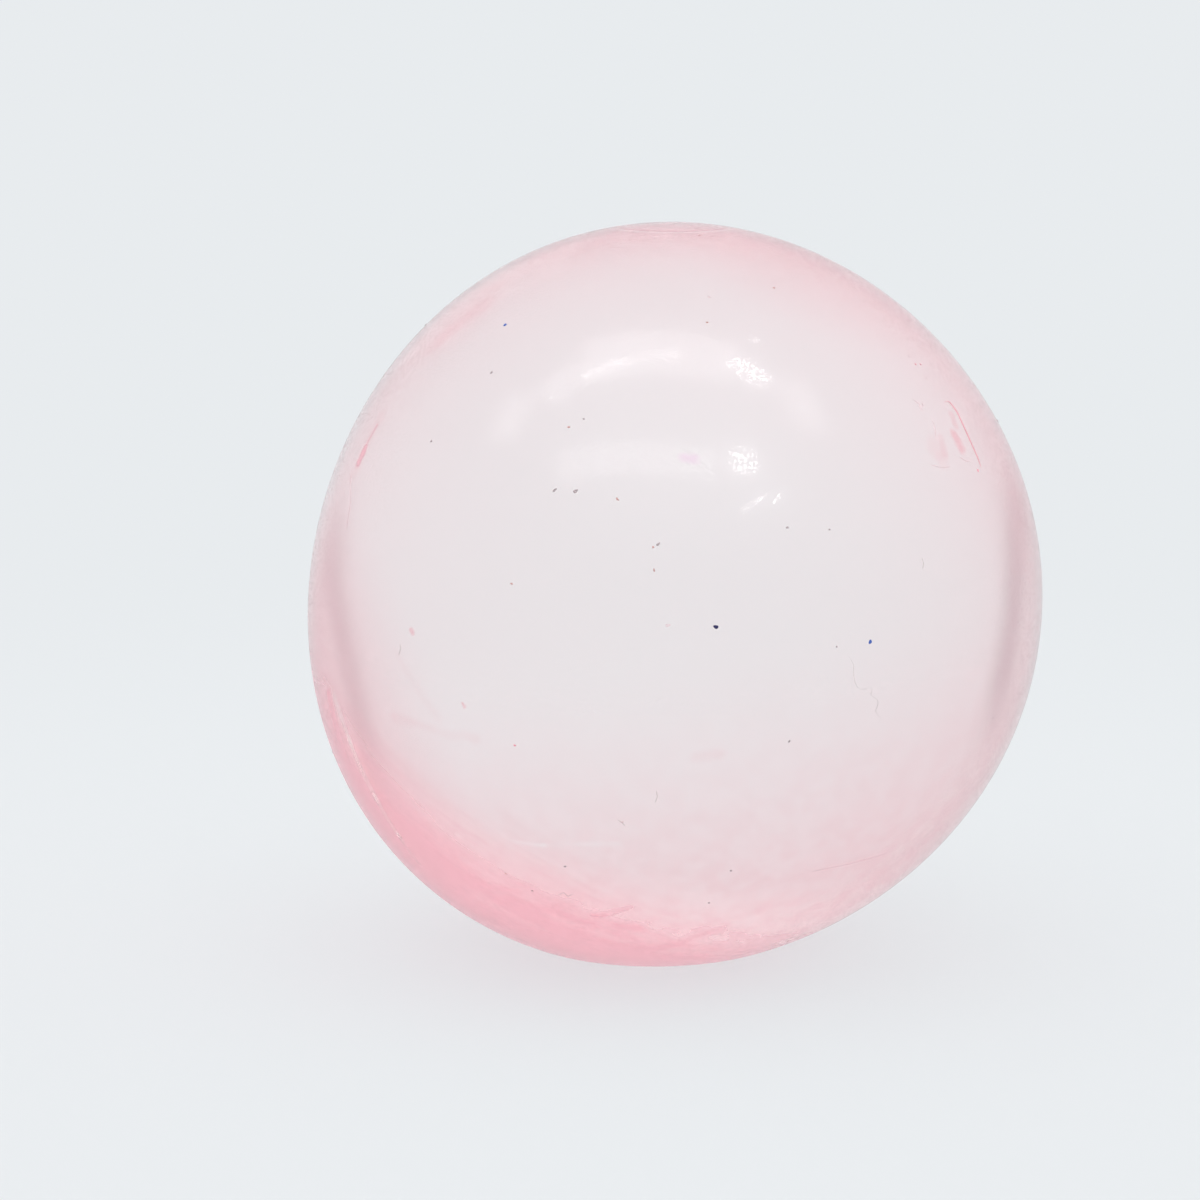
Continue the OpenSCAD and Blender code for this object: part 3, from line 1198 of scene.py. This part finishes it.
def make_lamp(name, x, y, long, broad, turn, brightness):
    """A soft panel whose reflection shows at a pixel, long and broad by so many pixels there.

    Turn is the angle in degrees at which it rises to the right in the picture. A step of one pixel along
    and across the reflection turns the mirrored way a little, which gives the panel's directions and size.
    A panel's power is its brightness times pi times its area.
    """
    c, s = math.cos(math.radians(turn)), math.sin(math.radians(turn))
    point, way = mirrored_way(x, y)
    along = (mirrored_way(x + c, y - s)[1] - mirrored_way(x - c, y + s)[1]) / 2
    across = (mirrored_way(x + s, y + c)[1] - mirrored_way(x - s, y - c)[1]) / 2
    level = unit(along - float(along @ way) * way)
    axes = np.column_stack([level, np.cross(way, level), way])
    data = bpy.data.lights.new(name, "AREA")
    data.shape = "RECTANGLE"
    data.size = LAMP_AWAY * long * float(np.linalg.norm(along))
    data.size_y = LAMP_AWAY * broad * float(np.linalg.norm(across))
    data.energy = brightness * math.pi * data.size * data.size_y
    lamp = in_scene(name, data)
    lamp.location = point + LAMP_AWAY * way
    lamp.rotation_euler = Matrix(axes.tolist()).to_euler()
    lamp.visible_diffuse = False
    lamp.visible_transmission = False


for name, values in LAMPS.items():
    make_lamp(name, *values)
print("lamps:", len(LAMPS))

# %% [markdown]
# ## Cards that draw the edges
#
# A clear ball on a pale ground needs dark edges, and a photographer gives it some with cards out of shot.
# They show only through the ball, as the dark bands inside its left and right rims. Each band's place in
# the picture is followed through the ball to find where its card must stand. A narrow bright card draws
# the fine light line inside the lower left rim in the same way.

# %% Cards
CARD_AWAY = 0.07
CARD_LOWEST = 0.0003
CARD_ACROSS, CARD_ALONG = 33, 49
FADES_IN, FADES_OUT, FADE_CURVE = 5, 4, 1.2
CARD_GREY = (0.42, 0.36, 0.39, 1.0)
CARD_PALE = (0.55, 0.50, 0.53, 1.0)
CARD_CREAM = (1.2, 1.08, 0.98, 1.0)
CARDS = {
    "right_flag": (
        [(1004, 455), (1012, 505), (1013, 560), (1011, 615), (1003, 666), (992, 717), (978, 768)],
        15, 0.3, CARD_GREY),
    "left_flag": (
        [(342, 480), (334, 525), (331, 565), (338, 605), (347, 650), (355, 690), (367, 739), (404, 835)],
        16, 0.3, CARD_PALE),
    "bright_line": (
        [(337, 702), (356, 747), (380, 794), (398, 822), (428, 858), (458, 890)], 5, 0.0, CARD_CREAM),
}


def make_card(name, middle, half_width, peak, colour):
    """A card that draws a band inside one rim.

    The band is given as it shows in the picture: pixels along its middle and its half width. Each pixel of
    that strip is followed through the ball, and the card lies CARD_AWAY beyond it. The tone is strongest at
    peak, where -1 is the side of the ball's middle and 1 is the rim's, and fades to nothing at the edges.
    """
    middle = np.array(middle, float)
    knots = np.linspace(0, 1, len(middle))
    s, t = np.meshgrid(np.linspace(-1, 1, CARD_ACROSS), np.linspace(0, 1, CARD_ALONG))
    x = np.interp(t, knots, middle[:, 0])
    y = np.interp(t, knots, middle[:, 1])
    outwards = np.sign(middle[0, 0] - BALL_PX[0])
    leaves, way = seen_through(x + outwards * s * half_width, y, GEL_IOR)
    points = (leaves + CARD_AWAY * way).reshape(-1, 3)
    points[:, 2] = np.maximum(points[:, 2], CARD_LOWEST)
    corner = (np.arange(CARD_ALONG - 1)[:, None] * CARD_ACROSS + np.arange(CARD_ACROSS - 1)).reshape(-1, 1)
    card = new_piece(name, points, corner + np.array([[0, 1, CARD_ACROSS + 1, CARD_ACROSS]]))
    across = np.where(s > peak, (1 - s) / (1 - peak), (1 + s) / (1 + peak))
    ends = np.minimum(1, np.minimum(t * FADES_IN, (1 - t) * FADES_OUT))
    tone = across ** FADE_CURVE * ends
    keep_vectors(card, "tone", np.repeat(tone.reshape(-1, 1), 3, axis=1))
    finish = Finish(name)
    share = finish.node("SeparateXYZ", {0: finish.place("tone")})
    paint = finish.node("Emission", {"Color": colour})
    clear = finish.node("BsdfTransparent")
    card.data.materials.append(
        finish.surface(finish.node("MixShader", {0: share, 1: clear, 2: paint})))
    card.visible_camera = False
    card.visible_diffuse = False
    card.visible_glossy = False
    card.visible_shadow = False


for name, values in CARDS.items():
    make_card(name, *values)
print("cards:", len(CARDS))

# %% [markdown]
# ## Colour and bounces
#
# The Standard view keeps the pale tones as they are worked out, without a film curve. Light that runs round
# inside a clear ball crosses many faces, so the number of bounces is raised until no ray ends early.

# %% Colour and bounces
scene = bpy.context.scene
scene.view_settings.view_transform = "Standard"
scene.cycles.max_bounces = 32
scene.cycles.transmission_bounces = 32
print("bounces:", scene.cycles.max_bounces)

# %% [markdown]
# ## Riding on the frame
#
# The skin, the gel and the dirt belong to the ball's body, and the stopper and its cap to the crown, which
# a squeeze pushes down. Each piece is hung on its body and gets a mesh of its own.


def flatten(piece):
    """Gives a piece a mesh of its own."""
    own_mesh(piece)


for piece, body, node, slot in (
    (skin, "ball", "skin", "clear_skin"),
    (gel, "ball", "gel_core", "gel"),
    (stopper, "crown", "fill_plug", "stopper_rubber"),
    (cap, "crown", "seal_cap", "adhesive"),
):
    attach(piece, body)
    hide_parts(node)
for piece in MARKS:
    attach(piece, "ball")
for piece in (skin, gel, *MARKS):
    flatten(piece)
for piece in (stopper, cap):
    flatten(piece)
